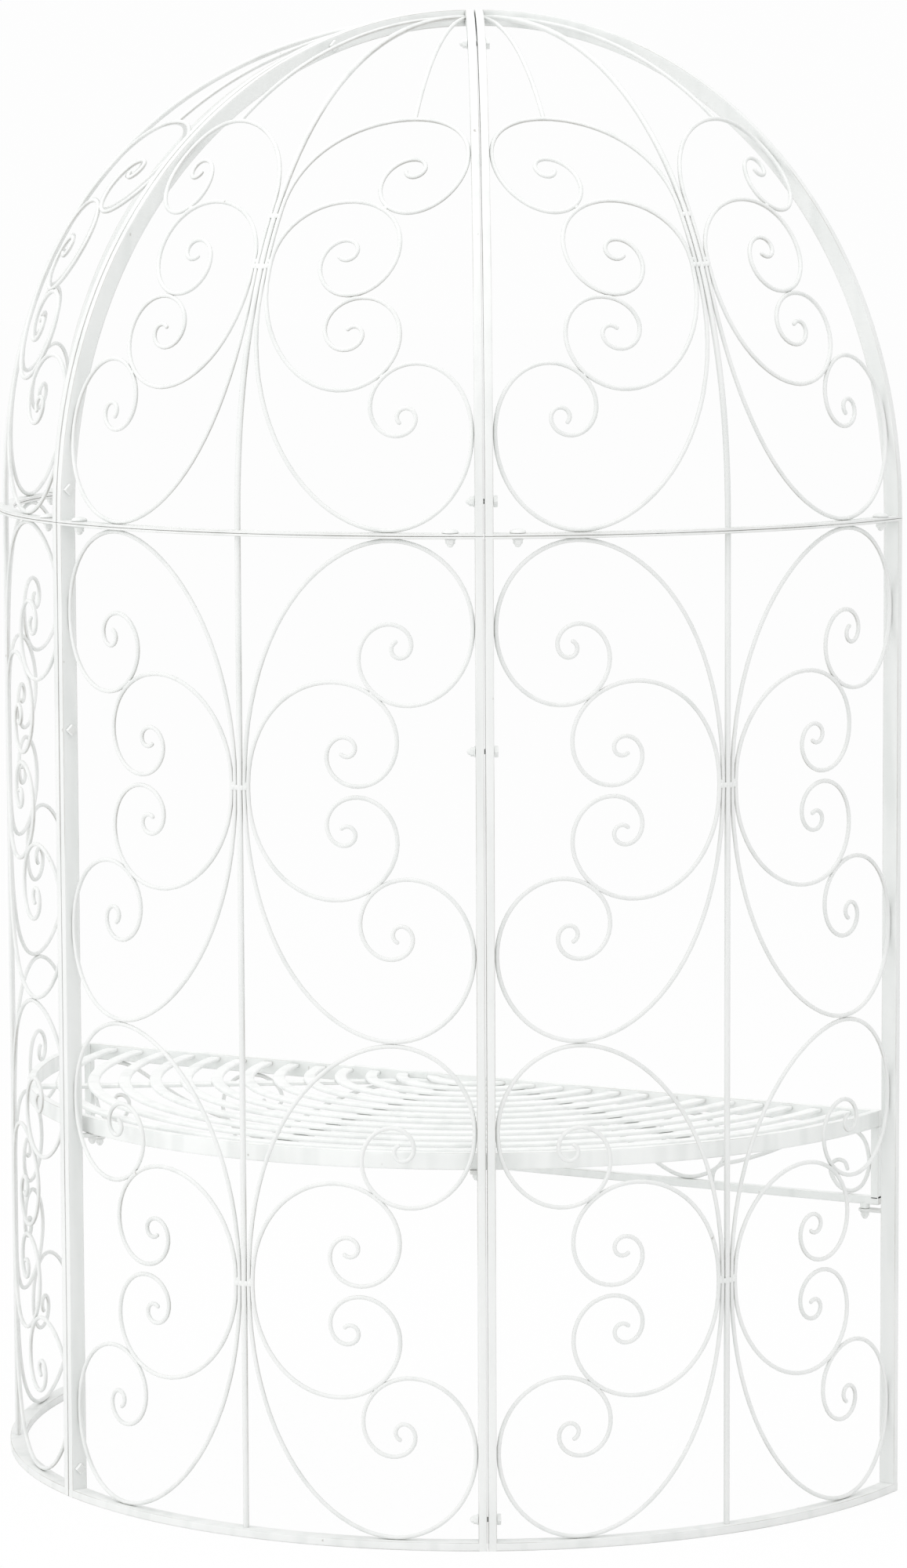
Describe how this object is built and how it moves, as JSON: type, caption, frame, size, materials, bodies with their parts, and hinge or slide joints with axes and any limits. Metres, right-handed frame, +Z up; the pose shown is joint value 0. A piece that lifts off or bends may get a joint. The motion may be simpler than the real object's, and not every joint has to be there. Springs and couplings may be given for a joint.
{
  "type": "arbour seat",
  "caption": "Half-round garden arbour of iron bars and scrolled wire with a domed roof, and a curved slatted bench inside.",
  "frame": {"origin": "on the ground, at the middle of the footprint", "axes": "+Z up, +Y towards the closed back, the open front faces -Y, +X to the right seen from the front"},
  "size_m": [1.1982, 0.5992, 1.8109],
  "materials": {
    "frame_paint": "antique white paint, brushed and worn along the edges",
    "wire_paint": "antique white paint on bent wire, with grey-brown wear",
    "bench_paint": "antique white paint, smoother on the slats",
    "bolt_paint": "antique white paint on steel bolts"
  },
  "bodies": {
    "root": {"wall_right_frame": "frame_paint", "wall_right_centre_rod": "wire_paint", "wall_right_lower_scrollwork": "wire_paint", "wall_right_upper_scrollwork": "wire_paint", "wall_middle_frame": "frame_paint", "wall_middle_centre_rod": "wire_paint", "wall_middle_lower_scrollwork": "wire_paint", "wall_middle_upper_scrollwork": "wire_paint", "wall_left_frame": "frame_paint", "wall_left_centre_rod": "wire_paint", "wall_left_lower_scrollwork": "wire_paint", "wall_left_upper_scrollwork": "wire_paint", "roof_right_frame": "frame_paint", "roof_right_centre_rod": "wire_paint", "roof_right_scrollwork": "wire_paint", "roof_middle_frame": "frame_paint", "roof_middle_centre_rod": "wire_paint", "roof_middle_scrollwork": "wire_paint", "roof_left_frame": "frame_paint", "roof_left_centre_rod": "wire_paint", "roof_left_scrollwork": "wire_paint", "bench_front_rail": "bench_paint", "bench_rim": "bench_paint", "bench_slat_1": "bench_paint", "bench_slat_2": "bench_paint", "bench_slat_3": "bench_paint", "bench_slat_4": "bench_paint", "bench_slat_5": "bench_paint", "bench_slat_6": "bench_paint", "bench_slat_7": "bench_paint", "bench_slat_8": "bench_paint", "bench_slat_9": "bench_paint", "bench_slat_10": "bench_paint", "bench_slat_11": "bench_paint", "bench_slat_12": "bench_paint", "bench_slat_13": "bench_paint", "bench_bearer_right": "bench_paint", "bench_bearer_middle": "bench_paint", "bench_bearer_left": "bench_paint", "apron_frame": "bench_paint", "apron_right_scrollwork": "wire_paint", "apron_left_scrollwork": "wire_paint", "ring_bolt_right_1": "bolt_paint", "ring_bolt_right_2": "bolt_paint", "ring_bolt_middle_1": "bolt_paint", "ring_bolt_middle_2": "bolt_paint", "ring_bolt_left_1": "bolt_paint", "ring_bolt_left_2": "bolt_paint", "seam_bolt_right_1": "bolt_paint", "seam_bolt_right_2": "bolt_paint", "seam_bolt_right_3": "bolt_paint", "seam_bolt_right_4": "bolt_paint", "seam_bolt_left_1": "bolt_paint", "seam_bolt_left_2": "bolt_paint", "seam_bolt_left_3": "bolt_paint", "seam_bolt_left_4": "bolt_paint", "bench_bolt_rear_right": "bolt_paint", "bench_bolt_front_right": "bolt_paint", "bench_bolt_rear_left": "bolt_paint", "bench_bolt_front_left": "bolt_paint"}
  },
  "joints": []
}
